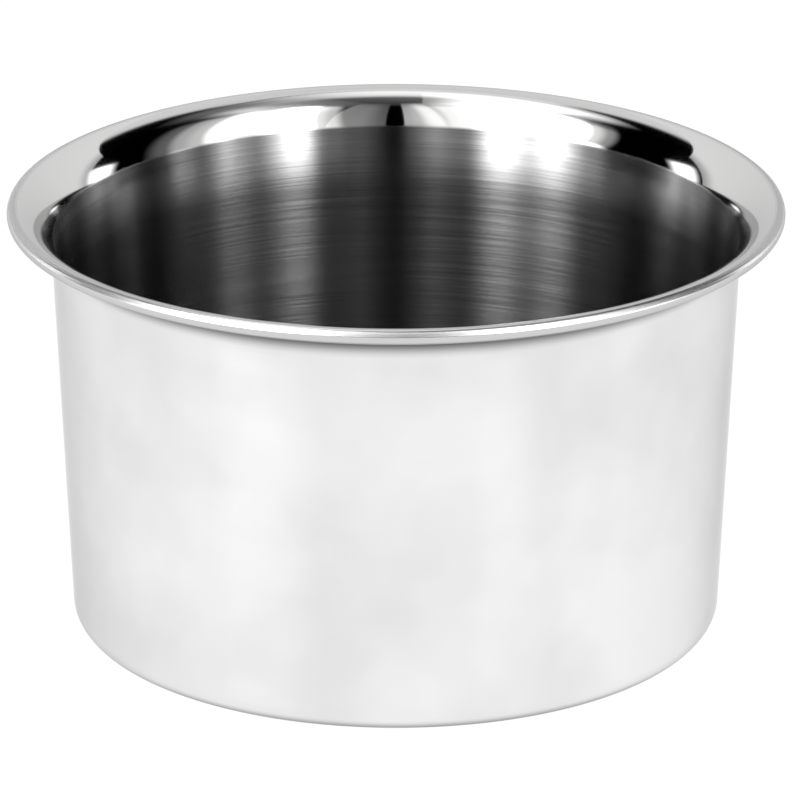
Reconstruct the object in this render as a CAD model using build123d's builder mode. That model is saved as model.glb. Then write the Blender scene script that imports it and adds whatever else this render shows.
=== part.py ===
from build123d import *
import math
import os

os.makedirs("parts", exist_ok=True)

# A shaving bowl: one deep-drawn stainless steel sheet whose flared lip is rolled around a
# stiffening wire. +Z is up along the bowl's axis, and the origin is in the middle of the
# base, on the plane the bowl stands on.

# Driving dimensions, mm and degrees
rim_diameter = 100.0  # over the rolled edge
bowl_height = 56.7  # standing plane to the top of the rolled edge
sheet_thickness = 0.5
bead_diameter = 2.0  # rolled edge, measured over the sheet
wire_clearance = 0.02  # on the radius, between wire and curl
foot_radius = 42.0  # outside of the wall, carried down to the standing plane
mouth_radius = 44.6  # outside of the wall, carried up to the top of the rim
base_corner_radius = 3.0  # outside
lip_slope = 20.0  # of the conical lip above the horizontal
flare_radius = 7.0  # bend between wall and lip, on the polished side
panel_radius = 32.0  # raised middle of the base
panel_rise = 0.6
panel_step = 1.5  # how far the step spreads out from the panel to the standing ring
panel_bend_radius = 2.0
curl_sweep = 285.0  # how far the sheet goes round the wire

# Centre of the rolled edge and of its wire
bead_radius = bead_diameter / 2
curl_radius = bead_radius - sheet_thickness
curl_center_radius = rim_diameter / 2 - bead_radius
curl_center_height = bowl_height - bead_radius
curl_center = (curl_center_radius, curl_center_height)

# Where the lip's underside runs into the curl, tangent to it
curl_start_radius = curl_center_radius - curl_radius * math.sin(math.radians(lip_slope))
curl_start_height = curl_center_height + curl_radius * math.cos(math.radians(lip_slope))

# Where the outside of the wall would meet the underside of the lip if the bend were sharp
wall_lean = (mouth_radius - foot_radius) / bowl_height
lip_rise = math.tan(math.radians(lip_slope))
lip_height_on_axis = curl_start_height - curl_start_radius * lip_rise
knee_height = (lip_height_on_axis + foot_radius * lip_rise) / (1 - wall_lean * lip_rise)
knee_radius = foot_radius + wall_lean * knee_height

# Base, wall and lip follow the outside of the sheet from the middle of the base outwards,
# with the sheet on the left of that line: above the base, inside the wall and on top of the lip.
# The curl goes on from the lip, over the wire and back under the lip.
with BuildPart() as bowl_shell:
    with BuildSketch(Plane.XZ):
        with BuildLine():
            FilletPolyline(
                (0, panel_rise),
                (panel_radius, panel_rise),
                (panel_radius + panel_step, 0),
                (foot_radius, 0),
                (knee_radius, knee_height),
                (curl_start_radius, curl_start_height),
                radius=[
                    panel_bend_radius,
                    panel_bend_radius,
                    base_corner_radius,
                    flare_radius - sheet_thickness,
                ],
            )
            offset(amount=sheet_thickness, side=Side.LEFT)
        make_face()
        with BuildLine():
            around_wire = CenterArc(curl_center, curl_radius, 90 + lip_slope, -curl_sweep)
            around_curl = CenterArc(curl_center, bead_radius, 90 + lip_slope, -curl_sweep)
            Line(around_wire @ 0, around_curl @ 0)
            Line(around_wire @ 1, around_curl @ 1)
        make_face()
    revolve(axis=Axis.Z)
bowl_shell.part.label = "bowl_shell"

# The wire that the edge is rolled around
with BuildPart() as rim_wire:
    with BuildSketch(Plane.XZ):
        with Locations(curl_center):
            Circle(curl_radius - wire_clearance)
    revolve(axis=Axis.Z)
rim_wire.part.label = "rim_wire"

for piece in (bowl_shell, rim_wire):
    export_step(piece.part, f"parts/{piece.part.label}.step")
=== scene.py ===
import bpy
from math import atan2, cos, pi, radians, sin, tan
from mathutils import Euler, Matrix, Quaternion, Vector


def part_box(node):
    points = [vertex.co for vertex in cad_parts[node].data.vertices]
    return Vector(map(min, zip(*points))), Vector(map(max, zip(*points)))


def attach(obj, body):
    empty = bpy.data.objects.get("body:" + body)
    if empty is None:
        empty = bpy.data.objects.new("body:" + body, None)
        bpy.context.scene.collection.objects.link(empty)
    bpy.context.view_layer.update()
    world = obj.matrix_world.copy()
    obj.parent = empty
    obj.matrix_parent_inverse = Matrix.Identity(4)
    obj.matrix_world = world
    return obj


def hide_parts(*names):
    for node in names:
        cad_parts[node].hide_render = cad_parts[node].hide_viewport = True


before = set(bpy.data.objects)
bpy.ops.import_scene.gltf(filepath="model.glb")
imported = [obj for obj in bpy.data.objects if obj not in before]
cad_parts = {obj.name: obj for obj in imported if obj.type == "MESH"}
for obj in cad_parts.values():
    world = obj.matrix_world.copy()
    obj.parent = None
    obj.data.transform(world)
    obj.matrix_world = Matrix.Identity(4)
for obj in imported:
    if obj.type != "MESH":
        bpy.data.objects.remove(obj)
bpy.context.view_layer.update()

shellLow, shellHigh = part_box("bowl_shell")
wireLow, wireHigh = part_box("rim_wire")
mm = 0.001


def clearSelection():
    if bpy.context.object and bpy.context.object.mode != 'OBJECT':
        bpy.ops.object.mode_set(mode='OBJECT')
    bpy.ops.object.select_all(action='DESELECT')


# the line of the sheet's outside is drawn, spun round Z, then given the sheet's thickness
bowl = {
    "sheet": 0.5 * mm,
    "footRadius": 42.0 * mm,       # outside of the wall, carried down to the floor
    "mouthRadius": 44.6 * mm,      # and carried up to the top of the rim
    "cornerRadius": 3.0 * mm,
    "panelRadius": 32.0 * mm,      # raised middle of the base
    "panelRise": 0.6 * mm,
    "panelStep": 1.5 * mm,
    "panelBend": 2.0 * mm,
    "lipSlope": radians(20),
    "flareRadius": 7.0 * mm,       # on the polished side
    "curlSweep": radians(285),
    "segments": 256,
    "bendStep": radians(4),        # facets along the bends
    "curlStep": radians(8),
    "edgeLoop": 0.25 * mm,         # extra ring beside each bend, keeps the flat faces flat
    "ringGap": 7 * mm,             # rings on the long straight faces
    "mergeWithin": 0.002 * mm,
    "smoothBelow": radians(40),    # sharper edges stay sharp
}


class Pen:
    # draws a profile in the XZ plane with one live vertex
    def __init__(self, x, z):
        self.at = Vector((x, 0, z))

    def lineTo(self, x, z):
        end = Vector((x, 0, z))
        bpy.ops.mesh.extrude_vertices_move(TRANSFORM_OT_translate={"value": end - self.at})
        self.at = end

    def straightTo(self, x, z, loop, gap):
        start, end = self.at.copy(), Vector((x, 0, z))
        along = end - start
        loop = min(loop, along.length / 3)
        along.normalize()
        first, last = start + along * loop, end - along * loop
        parts = max(1, round((last - first).length / gap))
        for i in range(parts + 1):
            p = first.lerp(last, i / parts)
            self.lineTo(p.x, p.z)
        self.lineTo(x, z)

    def arc(self, x, z, turn, step):
        # turn is positive anticlockwise, seen with X to the right and Z up
        centre = Vector((x, 0, z))
        bpy.ops.mesh.spin(steps=max(2, round(abs(turn) / step)), angle=turn, center=centre, axis=(0, 1, 0))
        arm = self.at - centre
        across = arm.x * cos(turn) - arm.z * sin(turn)
        up = arm.x * sin(turn) + arm.z * cos(turn)
        self.at = centre + Vector((across, 0, up))


def drawCorner(pen, corner, after, radius):
    # straight up to the bend, then round it
    come = (Vector((corner[0], 0, corner[1])) - pen.at).normalized()
    go = Vector((after[0] - corner[0], 0, after[1] - corner[1])).normalized()
    turn = atan2(come.x * go.z - come.z * go.x, come.x * go.x + come.z * go.z)
    side = 1 if turn > 0 else -1
    start = Vector((corner[0], 0, corner[1])) - come * radius * tan(abs(turn) / 2)
    centre = start + Vector((-come.z, 0, come.x)) * radius * side
    pen.straightTo(start.x, start.z, bowl["edgeLoop"], bowl["ringGap"])
    pen.arc(centre.x, centre.z, turn, bowl["bendStep"])


def makeBowl():
    wireRadius = (wireHigh.z - wireLow.z) / 2
    curlX, curlZ = wireHigh.x - wireRadius, (wireHigh.z + wireLow.z) / 2
    curlRadius = shellHigh.z - curlZ - bowl["sheet"]
    slope = bowl["lipSlope"]
    lipX, lipZ = curlX - curlRadius * sin(slope), curlZ + curlRadius * cos(slope)
    lean = (bowl["mouthRadius"] - bowl["footRadius"]) / shellHigh.z
    kneeZ = (lipZ - (lipX - bowl["footRadius"]) * tan(slope)) / (1 - lean * tan(slope))
    kneeX = bowl["footRadius"] + lean * kneeZ
    corners = [
        (bowl["panelRadius"], bowl["panelRise"], bowl["panelBend"]),
        (bowl["panelRadius"] + bowl["panelStep"], 0, bowl["panelBend"]),
        (bowl["footRadius"], 0, bowl["cornerRadius"]),
        (kneeX, kneeZ, bowl["flareRadius"] - bowl["sheet"]),
        (lipX, lipZ, 0),
    ]
    clearSelection()
    bpy.ops.mesh.primitive_plane_add(size=mm, location=(0, 0, bowl["panelRise"]))
    piece = bpy.context.object
    piece.name = piece.data.name = "bowlSheet"
    bpy.ops.object.transform_apply(location=True)
    bpy.ops.object.mode_set(mode='EDIT')
    bpy.ops.mesh.select_mode(type='VERT')
    bpy.ops.mesh.select_all(action='SELECT')
    bpy.ops.mesh.merge(type='CENTER')

    pen = Pen(0, bowl["panelRise"])
    for here, after in zip(corners, corners[1:]):
        drawCorner(pen, here[:2], after[:2], here[2])
    pen.straightTo(lipX, lipZ, bowl["edgeLoop"], bowl["ringGap"])
    pen.arc(curlX, curlZ, -bowl["curlSweep"], bowl["curlStep"])

    bpy.ops.mesh.select_all(action='SELECT')
    bpy.ops.mesh.spin(steps=bowl["segments"], angle=2 * pi, center=(0, 0, 0), axis=(0, 0, 1))
    bpy.ops.mesh.select_all(action='SELECT')
    bpy.ops.mesh.remove_doubles(threshold=bowl["mergeWithin"])
    bpy.ops.mesh.normals_make_consistent(inside=False)
    bpy.ops.object.mode_set(mode='OBJECT')

    underside = min(piece.data.polygons, key=lambda f: f.center.z)
    wall = piece.modifiers.new("sheet", 'SOLIDIFY')
    wall.thickness = bowl["sheet"]
    wall.offset = -1 if underside.normal.z < 0 else 1
    wall.use_even_offset = True
    wall.use_quality_normals = True
    bpy.ops.object.modifier_apply(modifier=wall.name)
    bpy.ops.object.shade_smooth_by_angle(angle=bowl["smoothBelow"])

    # faces that look into the bowl are marked, so the steel can differ inside and out
    middle = Vector((0, 0, shellHigh.z / 2))
    inside = piece.data.attributes.new("inside", 'FLOAT', 'FACE')
    for face, mark in zip(piece.data.polygons, inside.data):
        mark.value = float(face.normal.dot(face.center - middle) < 0)
    return piece


bowlSheet = makeBowl()
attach(bowlSheet, "root")
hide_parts("bowl_shell")
print("bowl made,", len(bowlSheet.data.polygons), "faces")


# one steel for the whole sheet: brushed inside, pale outside, polished on the flare; its colour carries
# painted shade inside, on the curl, in the crease, under the curl and round the foot, and painted reflection
# bands inside
steel = {
    "colour": (0.80, 0.80, 0.795, 1),
    "outsideColour": (0.86, 0.86, 0.86, 1),
    # painted shade: the inside gets a far darker copy of the steel's colour
    "insideShadeColour": (0.21, 0.21, 0.21, 1),
    # painted shade: the curl gets a darker copy of the lip's colour, also used for the crease
    "beadShadeColour": (0.62, 0.62, 0.62, 1),
    "edgeTint": (0.7, 0.7, 0.7, 1),
    "footShadeColour": (0.25, 0.25, 0.25, 1),
    "footShadeHeight": 1.8 * mm,        # painted shade: a dark line round the foot, up to this height
    # painted shade under the curl
    "underLipShadeColour": (0.10, 0.10, 0.10, 1),
    "insideRoughness": 0.24,
    "outsideRoughness": 0.13,
    "lipRoughness": 0.06,
    "beadRoughness": 0.18,
    "wallGrain": 0.02,             # how far the brushing moves the roughness
    "grainTone": 0.22,             # and the tone of the metal inside
    "grainSpan": (0.3, 0.7),       # the part of the noise that is used
    "reflectionBands": 30,                 # painted reflections: faint light and dark up-and-down bands round the inside, which also cross the base
    "reflectionBandTone": 0.35,
    "blotchTone": 0.065,           # soft clouds of tone on the outside
    "blotchScale": 40,
    "blotchSpan": (0.35, 0.65),
    "polishFrom": 52.1 * mm,       # brushing gives way to polish over this stretch of height
    "polishTo": 52.6 * mm,
    "bellFrom": 43.5 * mm,         # the brushed wall's shading bends as if it opened out very slightly below the flare
    "bellTo": 50.3 * mm,
    "bellRadius": 23 * mm,
    "stretch": 1.0,                # anisotropy
    "stretchTurn": 0.25,           # a quarter turn: highlights run up and down, except on the curl
    "lipFrom": 54.0 * mm,          # all above this height is lip
    "lipTo": 54.5 * mm,
    "beadFrom": 49.0 * mm,         # radius where the flat of the lip meets the curl
    "beadEdge": 0.2 * mm,          # the change of finish there is this wide
    "creaseRadius": 48.75 * mm,
    "creaseWidth": 0.22 * mm,
    "creaseDepth": 0.02 * mm,
    # painted shade in the crease, as a share of the curl's darker colour
    "creaseShadeTone": 0.5,
    "shadeFrom": 51.0 * mm,        # painted shade: the outside darkens up into the recess under the curl
    "shadeTo": 53.6 * mm,
    "grainAround": 40,             # noise cells per metre round the bowl
    "grainUp": 4200,               # and per metre up the wall or out along the base
    "grainDepth": 0.0004 * mm,
}


def nodeTree(name):
    material = bpy.data.materials.new(name)
    material.use_nodes = True
    tree = material.node_tree
    shader = tree.nodes["Principled BSDF"]
    return material, tree, shader


def feed(tree, socket, value):
    # another node's output is linked, anything else is set
    if isinstance(value, bpy.types.NodeSocket):
        tree.links.new(value, socket)
    else:
        socket.default_value = value


def mathNode(tree, operation, a, b=0.0, c=0.0):
    node = tree.nodes.new("ShaderNodeMath")
    node.operation = operation
    for socket, value in zip(node.inputs, (a, b, c)):
        feed(tree, socket, value)
    return node.outputs[0]


def mapRange(tree, value, fromMin, fromMax, toMin, toMax, smooth=False):
    node = tree.nodes.new("ShaderNodeMapRange")
    node.interpolation_type = 'SMOOTHSTEP' if smooth else 'LINEAR'
    tree.links.new(value, node.inputs["Value"])
    for name, number in zip(("From Min", "From Max", "To Min", "To Max"), (fromMin, fromMax, toMin, toMax)):
        feed(tree, node.inputs[name], number)
    return node.outputs[0]


def combine(tree, x, y, z):
    node = tree.nodes.new("ShaderNodeCombineXYZ")
    for socket, value in zip(node.inputs, (x, y, z)):
        feed(tree, socket, value)
    return node.outputs[0]


def mixColour(tree, factor, first, second, blend='MIX'):
    node = tree.nodes.new("ShaderNodeMix")
    node.data_type = 'RGBA'
    node.blend_type = blend
    for socket, value in zip((node.inputs[0], node.inputs[6], node.inputs[7]), (factor, first, second)):
        feed(tree, socket, value)
    return node.outputs[2]


def noise(tree, vector, scale, detail, rough):
    node = tree.nodes.new("ShaderNodeTexNoise")
    node.inputs["Scale"].default_value = scale
    node.inputs["Detail"].default_value = detail
    node.inputs["Roughness"].default_value = rough
    tree.links.new(vector, node.inputs["Vector"])
    return node.outputs["Fac"]


def bumpNode(tree, height, distance, strength, under=None):
    node = tree.nodes.new("ShaderNodeBump")
    node.inputs["Distance"].default_value = distance
    tree.links.new(strength, node.inputs["Strength"])
    tree.links.new(height, node.inputs["Height"])
    if under:
        tree.links.new(under, node.inputs["Normal"])
    return node.outputs[0]


def pieceCoordinates(tree):
    # a point on the piece, its x, y and z, and its distance from the upright axis
    place = tree.nodes.new("ShaderNodeTexCoord").outputs["Object"]
    split = tree.nodes.new("ShaderNodeSeparateXYZ")
    tree.links.new(place, split.inputs[0])
    x, y, z = split.outputs
    radius = mathNode(tree, 'SQRT', mathNode(tree, 'MULTIPLY_ADD', x, x, mathNode(tree, 'MULTIPLY', y, y)))
    return place, x, y, z, radius


def makeBowlSteel():
    material, tree, shader = nodeTree("bowlSteel")
    place, x, y, z, radius = pieceCoordinates(tree)
    side = tree.nodes.new("ShaderNodeAttribute")
    side.attribute_name = "inside"
    inside = side.outputs["Fac"]

    # brushing runs round the bowl on the wall and the base
    grain = noise(tree, combine(
        tree,
        mathNode(tree, 'MULTIPLY', x, steel["grainAround"]),
        mathNode(tree, 'MULTIPLY', y, steel["grainAround"]),
        mathNode(tree, 'MULTIPLY', mathNode(tree, 'ADD', radius, z), steel["grainUp"]),
    ), scale=1, detail=5, rough=0.65)
    blotch = noise(tree, place, scale=steel["blotchScale"], detail=3, rough=0.5)
    polish = mapRange(tree, z, steel["polishFrom"], steel["polishTo"], 0, 1, smooth=True)
    dull = mathNode(tree, 'SUBTRACT', 1, polish)
    bead = mapRange(tree, radius, steel["beadFrom"] - steel["beadEdge"], steel["beadFrom"], 0, 1, smooth=True)

    wall = mapRange(tree, inside, 0, 1, steel["outsideRoughness"], steel["insideRoughness"])
    unevenness = mapRange(tree, grain, *steel["grainSpan"], -steel["wallGrain"], steel["wallGrain"])
    brushed = mathNode(tree, 'ADD', wall, unevenness)
    finish = mapRange(tree, polish, 0, 1, brushed, steel["lipRoughness"])
    tree.links.new(mapRange(tree, bead, 0, 1, finish, steel["beadRoughness"]), shader.inputs["Roughness"])

    # the bell of the wall, a parabola, then the crease round the lip, then the brushing on top
    rise = mathNode(tree, 'MAXIMUM', mathNode(tree, 'SUBTRACT', z, steel["bellFrom"]), 0)
    bellShape = mathNode(tree, 'MULTIPLY', mathNode(tree, 'POWER', rise, 2), -0.5 / steel["bellRadius"])
    bellFade = mapRange(tree, z, steel["bellTo"], steel["polishTo"], 1, 0, smooth=True)
    bell = bumpNode(tree, bellShape, 1, mathNode(tree, 'MULTIPLY', bellFade, inside))
    fromCrease = mathNode(tree, 'ABSOLUTE', mathNode(tree, 'SUBTRACT', radius, steel["creaseRadius"]))
    crease = mapRange(tree, fromCrease, 0, steel["creaseWidth"], 1, 0, smooth=True)
    groove = bumpNode(tree, crease, -steel["creaseDepth"], polish, bell)
    tree.links.new(bumpNode(tree, grain, steel["grainDepth"], dull, groove), shader.inputs["Normal"])

    # tone: brushing over painted shade and painted reflection bands inside, pale clouds outside, painted
    # shade up under the curl, round the foot, on the curl and in the crease
    tone = mapRange(tree, grain, *steel["grainSpan"], 1 - steel["grainTone"], 1 + steel["grainTone"])
    # painted reflections: light and dark up-and-down bands round the bowl
    turned = mathNode(tree, 'MULTIPLY', mathNode(tree, 'ARCTAN2', x, y), steel["reflectionBands"])
    reflectionBand = mathNode(tree, 'COSINE', turned)
    tone = mathNode(tree, 'MULTIPLY', tone, mathNode(tree, 'MULTIPLY_ADD', reflectionBand, -steel["reflectionBandTone"], 1))
    # painted shade: the inside takes the darker copy of the steel's colour, under the grain and the painted
    # reflection bands
    innerShadedTone = mixColour(tree, 1, steel["insideShadeColour"], combine(tree, tone, tone, tone), 'MULTIPLY')
    cloud = mapRange(tree, blotch, *steel["blotchSpan"], 1 - 2 * steel["blotchTone"], 1)
    outerTone = mixColour(tree, 1, steel["outsideColour"], combine(tree, cloud, cloud, cloud), 'MULTIPLY')
    # painted shade on the outside up under the curl
    underLipShade = mapRange(tree, z, steel["shadeFrom"], steel["shadeTo"], 0, 1, smooth=True)
    outerTone = mixColour(tree, underLipShade, outerTone, steel["underLipShadeColour"])
    # painted shade: a dark line round the foot
    footShade = mapRange(tree, z, 0, steel["footShadeHeight"], 1, 0, smooth=True)
    outerTone = mixColour(tree, footShade, outerTone, steel["footShadeColour"])
    wallTone = mixColour(tree, inside, outerTone, innerShadedTone)
    # painted shade: the curl takes the darker colour
    lipTone = mixColour(tree, bead, steel["colour"], steel["beadShadeColour"])
    # painted shade along the crease
    creaseShade = mathNode(tree, 'MULTIPLY', crease, steel["creaseShadeTone"])
    lipTone = mixColour(tree, creaseShade, lipTone, steel["beadShadeColour"])
    aboveLip = mapRange(tree, z, steel["lipFrom"], steel["lipTo"], 0, 1)
    onLip = mathNode(tree, 'MAXIMUM', mathNode(tree, 'MULTIPLY', polish, inside), aboveLip)
    onLip = mathNode(tree, 'MAXIMUM', onLip, bead)
    tree.links.new(mixColour(tree, onLip, wallTone, lipTone), shader.inputs["Base Color"])

    around = combine(tree, mathNode(tree, 'MULTIPLY', y, -1), x, 0)
    tree.links.new(around, shader.inputs["Tangent"])
    tree.links.new(mapRange(tree, bead, 0, 1, steel["stretchTurn"], 0), shader.inputs["Anisotropic Rotation"])
    shader.inputs["Metallic"].default_value = 1
    shader.inputs["Specular Tint"].default_value = steel["edgeTint"]
    shader.inputs["Anisotropic"].default_value = steel["stretch"]
    return material


bowlSheet.data.materials.clear()
bowlSheet.data.materials.append(makeBowlSteel())
print("steel made")


# the wire hides inside the curl, drawn steel with marks along its length
wire = {
    "colour": (0.32, 0.31, 0.30, 1),
    "roughness": (0.35, 0.55),
    "drawLines": 2500,             # drawing marks, cells per metre across the wire
    "marksAround": 3,              # and per radian round the ring
    "markSpan": (0.3, 0.7),
    "markTone": (0.8, 1.1),
}


def makeWireSteel():
    material, tree, shader = nodeTree("wireSteel")
    x, y, z, radius = pieceCoordinates(tree)[1:]
    marks = noise(tree, combine(
        tree,
        mathNode(tree, 'MULTIPLY', mathNode(tree, 'ARCTAN2', x, y), wire["marksAround"]),
        mathNode(tree, 'MULTIPLY', radius, wire["drawLines"]),
        mathNode(tree, 'MULTIPLY', z, wire["drawLines"]),
    ), scale=1, detail=3, rough=0.6)
    tree.links.new(mapRange(tree, marks, *wire["markSpan"], *wire["roughness"]), shader.inputs["Roughness"])
    shade = mapRange(tree, marks, *wire["markSpan"], *wire["markTone"])
    tone = mixColour(tree, 1, wire["colour"], combine(tree, shade, shade, shade), 'MULTIPLY')
    tree.links.new(tone, shader.inputs["Base Color"])
    shader.inputs["Metallic"].default_value = 1
    return material


rimWire = bpy.data.objects["rim_wire"]
rimWire.data.materials.clear()
rimWire.data.materials.append(makeWireSteel())
print("wire steel made")


# the floor glows white, so the bowl throws no shadow on it
studio = {
    "floorRadius": 9.0,
    "floorDrop": 0.02 * mm,
    "floorColour": (0.02, 0.02, 0.02, 1),
    "floorGlow": 1.0,
    "floorRoughness": 0.9,
    "floorFacets": 128,
}


def makeFloor():
    clearSelection()
    bpy.ops.mesh.primitive_circle_add(
        vertices=studio["floorFacets"], radius=studio["floorRadius"], fill_type='NGON',
        location=(0, 0, -studio["floorDrop"]))
    piece = bpy.context.object
    piece.name = piece.data.name = "floor"
    bpy.ops.object.transform_apply(location=True)
    material, _, shader = nodeTree("paleFloor")
    shader.inputs["Base Color"].default_value = studio["floorColour"]
    shader.inputs["Roughness"].default_value = studio["floorRoughness"]
    shader.inputs["Specular IOR Level"].default_value = 0
    shader.inputs["Emission Color"].default_value = (1, 1, 1, 1)
    shader.inputs["Emission Strength"].default_value = studio["floorGlow"]
    piece.data.materials.append(material)
    return piece


floor = makeFloor()
print("floor laid")


def makeWorld():
    # white behind everything, dark to the steel between the lights
    world = bpy.data.worlds.new("studio")
    bpy.context.scene.world = world
    world.use_nodes = True
    tree = world.node_tree
    seen = tree.nodes["Background"]
    seen.inputs["Color"].default_value = (1, 1, 1, 1)
    dark = tree.nodes.new("ShaderNodeBackground")
    dark.inputs["Color"].default_value = (0, 0, 0, 1)
    ray = tree.nodes.new("ShaderNodeLightPath")
    mix = tree.nodes.new("ShaderNodeMixShader")
    tree.links.new(ray.outputs["Is Camera Ray"], mix.inputs[0])
    tree.links.new(dark.outputs[0], mix.inputs[1])
    tree.links.new(seen.outputs[0], mix.inputs[2])
    tree.links.new(mix.outputs[0], tree.nodes["World Output"].inputs["Surface"])


makeWorld()
print("surroundings made")


# soft boxes and a lit sweep behind the bowl
# across and along are a box's edges in units of its distance, and a fade lists
# (place, level) from one edge to the other
softSides = ((0.0, 0.0), (0.4, 1.0), (0.6, 1.0), (1.0, 0.0))
lights = {
    "leftBox": {"azimuth": -39.6, "elevation": 28, "roll": 12, "distance": 0.8,
                "across": (-1.0, 0.57), "along": (-0.53, 1.2), "glow": 9.1,
                "acrossFade": ((0.0, 0.0), (0.13, 0.0), (0.2, 0.036), (0.28, 0.1), (0.34, 0.36),
                               (0.4, 0.72), (0.5, 1.0), (0.6, 1.0), (0.68, 0.72), (0.72, 0.36),
                               (0.76, 0.15), (0.82, 0.13), (0.88, 0.05), (0.95, 0.0)),
                "alongFade": ((0.0, 1.0), (0.75, 1.0), (0.88, 0.35), (1.0, 0.0))},
    "rightBox": {"azimuth": 46.8, "elevation": 5.4, "roll": -10, "distance": 0.8,
                 "across": (-0.95, 1.1), "along": (-0.1, 2.2), "glow": 6.5,
                 "acrossFade": ((0.0, 0.0), (0.17, 0.0), (0.22, 0.1), (0.27, 0.16), (0.32, 1.0),
                                (0.37, 1.0), (0.42, 0.7), (0.48, 0.2), (0.53, 0.2), (0.58, 0.4),
                                (0.62, 0.25), (0.67, 0.1), (0.76, 0.07), (0.84, 0.02), (1.0, 0.0)),
                 "alongFade": ((0.0, 1.0), (0.8, 1.0), (0.92, 0.3), (1.0, 0.0))},
    "leftStrip": {"azimuth": -70, "elevation": 0, "roll": 0, "distance": 0.8,
                  "across": (-0.15, 0.15), "along": (-0.05, 0.42), "glow": 3.0,
                  "acrossFade": softSides,
                  "alongFade": ((0.0, 1.0), (0.7, 1.0), (1.0, 0.0))},
    "rightStrip": {"azimuth": 78, "elevation": 0, "roll": 0, "distance": 0.8,
                   "across": (-0.15, 0.15), "along": (-0.05, 0.25), "glow": 3.0,
                   "acrossFade": softSides,
                   "alongFade": ((0.0, 1.0), (0.6, 1.0), (1.0, 0.0))},
    "leftRear": {"azimuth": -115, "elevation": 0, "roll": 0, "distance": 0.8,
                 "across": (-0.17, 0.17), "along": (-0.05, 0.42), "glow": 2.5,
                 "acrossFade": softSides,
                 "alongFade": ((0.0, 1.0), (0.8, 1.0), (1.0, 0.0))},
    "rightRear": {"azimuth": 119, "elevation": 0, "roll": 0, "distance": 0.8,
                  "across": (-0.17, 0.17), "along": (-0.05, 0.38), "glow": 2.5,
                  "acrossFade": softSides,
                  "alongFade": ((0.0, 1.0), (0.8, 1.0), (1.0, 0.0))},
    "frontLeft": {"azimuth": -11, "elevation": 0, "roll": 0, "distance": 0.8,
                  "across": (-0.15, 0.14), "along": (0.05, 3.5), "glow": 1.0,
                  "acrossFade": ((0.0, 0.0), (0.2, 0.8), (0.45, 0.9), (0.7, 0.6), (0.9, 0.5), (1.0, 0.5)),
                  "alongFade": ((0.0, 0.7), (0.2, 1.0), (0.5, 0.9), (1.0, 0.3))},
    "frontRight": {"azimuth": 14, "elevation": 0, "roll": 0, "distance": 0.8,
                   "across": (-0.18, 0.2), "along": (0.05, 3.5), "glow": 0.34,
                   "acrossFade": ((0.0, 0.4), (0.5, 0.9), (1.0, 1.0)),
                   "alongFade": ((0.0, 1.0), (0.5, 0.8), (1.0, 0.2))},
    "backSweep": {"azimuth": 180, "elevation": 0, "roll": 0, "distance": 1.0,
                  "across": (-1.5, 1.5), "along": (-0.05, 1.05), "glow": 0.85,
                  "acrossFade": ((0.0, 0.5), (0.15, 1.0), (0.85, 1.0), (1.0, 0.5)),
                  "alongFade": ((0.0, 1.0), (1.0, 1.0))},
    "backRise": {"azimuth": 180, "elevation": 0, "roll": 0, "distance": 1.0,
                 "across": (-0.85, 0.85), "along": (1.05, 2.4), "glow": 0.85,
                 "acrossFade": ((0.0, 0.0), (0.15, 0.9), (0.85, 0.9), (1.0, 0.0)),
                 "alongFade": ((0.0, 1.0), (1.0, 0.9))},
    "topBox": {"azimuth": 180, "elevation": 75, "roll": 0, "distance": 0.8,
               "across": (-0.7, 0.7), "along": (-0.2, 0.24), "glow": 1.2,
               "acrossFade": ((0.0, 0.0), (0.25, 0.15), (0.5, 1.0), (0.8, 1.0), (1.0, 0.0)),
               "alongFade": ((0.0, 0.3), (0.3, 1.0), (0.6, 0.9), (1.0, 0.15))},
    "topLeft": {"azimuth": -95, "elevation": 72, "roll": 0, "distance": 0.8,
                "across": (-0.35, 0.35), "along": (-0.2, 0.25), "glow": 1.4,
                "acrossFade": ((0.0, 0.0), (0.3, 1.0), (0.7, 1.0), (1.0, 0.0)),
                "alongFade": ((0.0, 0.0), (0.3, 1.0), (0.7, 0.8), (1.0, 0.2))},
    "topRight": {"azimuth": 75, "elevation": 70, "roll": 0, "distance": 0.8,
                 "across": (-0.4, 0.4), "along": (-0.15, 0.2), "glow": 0.8,
                 "acrossFade": ((0.0, 0.0), (0.4, 0.6), (0.7, 1.0), (1.0, 0.0)),
                 "alongFade": ((0.0, 0.2), (0.3, 1.0), (0.7, 0.3), (1.0, 0.1))},
    "topFront": {"azimuth": 0, "elevation": 80, "roll": 0, "distance": 0.8,
                 "across": (-0.35, 0.35), "along": (-0.15, 0.2), "glow": 0.16,
                 "acrossFade": ((0.0, 1.0), (1.0, 0.5)),
                 "alongFade": ((0.0, 0.3), (1.0, 1.0))},
}


def fadeRamp(tree, value, stops):
    ramp = tree.nodes.new("ShaderNodeValToRGB")
    ramp.color_ramp.interpolation = 'EASE'
    elements = ramp.color_ramp.elements
    for end, (position, level) in ((0, stops[0]), (-1, stops[-1])):
        elements[end].position = position
        elements[end].color = (level, level, level, 1)
    for position, level in stops[1:-1]:
        elements.new(position).color = (level, level, level, 1)
    tree.links.new(value, ramp.inputs[0])
    return ramp.outputs[0]


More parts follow.
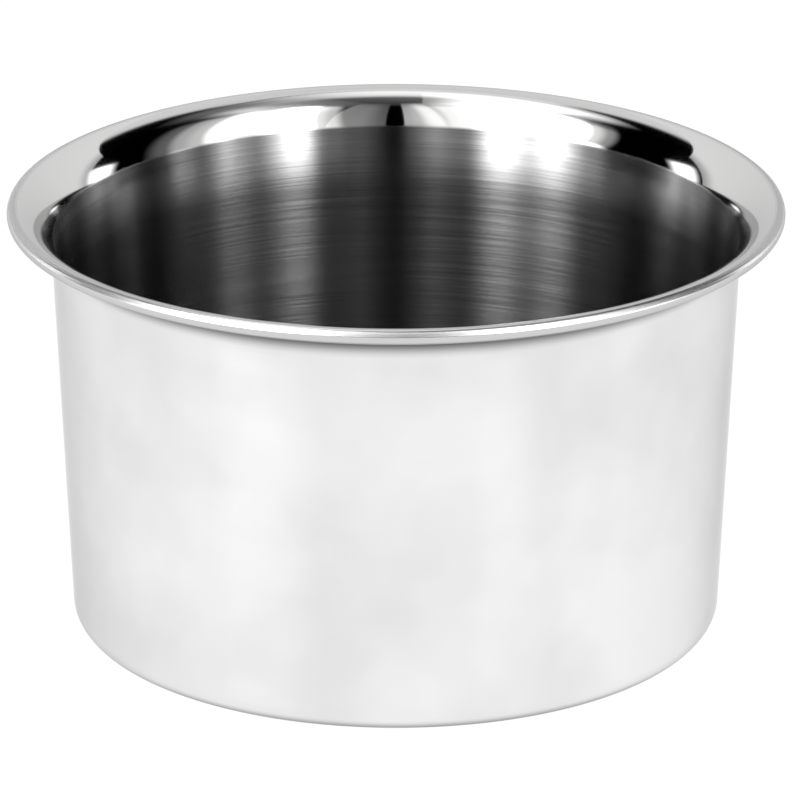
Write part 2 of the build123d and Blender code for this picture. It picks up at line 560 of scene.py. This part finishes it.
def makeLight(name, box):
    azimuth, elevation = radians(box["azimuth"]), radians(box["elevation"])
    away = Vector((sin(azimuth) * cos(elevation), -cos(azimuth) * cos(elevation), sin(elevation)))
    data = bpy.data.lights.new(name, 'AREA')
    data.shape = 'RECTANGLE'
    reach = box["distance"]
    data.size = (box["across"][1] - box["across"][0]) * reach
    data.size_y = (box["along"][1] - box["along"][0]) * reach
    data.energy = box["glow"] * pi * data.size * data.size_y
    light = bpy.data.objects.new(name, data)
    bpy.context.scene.collection.objects.link(light)
    turn = away.to_track_quat('Z', 'Y') @ Quaternion((0, 0, 1), radians(box["roll"]))
    shift = Vector((sum(box["across"]), sum(box["along"]), 0)) * reach / 2
    light.rotation_mode = 'QUATERNION'
    light.rotation_quaternion = turn
    light.location = Vector((0, 0, shellHigh.z)) + away * reach + turn @ shift
    light.visible_camera = False
    data.use_nodes = True
    tree = data.node_tree
    where = tree.nodes.new("ShaderNodeNewGeometry").outputs["Parametric"]
    split = tree.nodes.new("ShaderNodeSeparateXYZ")
    tree.links.new(where, split.inputs[0])
    across = fadeRamp(tree, split.outputs[0], box["acrossFade"])
    along = fadeRamp(tree, split.outputs[1], box["alongFade"])
    tree.links.new(mathNode(tree, 'MULTIPLY', across, along), tree.nodes["Emission"].inputs["Strength"])


for name, box in lights.items():
    makeLight(name, box)
print("lights made")


# the camera stands in front of the bowl and looks down into it
view = {
    "place": (0, -0.8819, 0.3545),
    "pitch": radians(20.236),
    "yaw": radians(0.0346),
    "roll": radians(0.0748),
    "lens": 325.9,
    "sensorWidth": 36,
    "seesTo": 50,
}


def makeCamera():
    data = bpy.data.cameras.new("camera")
    data.lens = view["lens"]
    data.sensor_width = view["sensorWidth"]
    data.clip_end = view["seesTo"]
    camera = bpy.data.objects.new("camera", data)
    camera.location = view["place"]
    aim = Euler((pi / 2 - view["pitch"], 0, -view["yaw"])).to_quaternion()
    camera.rotation_mode = 'QUATERNION'
    camera.rotation_quaternion = aim @ Quaternion((0, 0, 1), view["roll"])
    bpy.context.scene.collection.objects.link(camera)
    bpy.context.scene.camera = camera
    bpy.context.scene.view_settings.view_transform = 'Standard'


makeCamera()
print("camera placed")
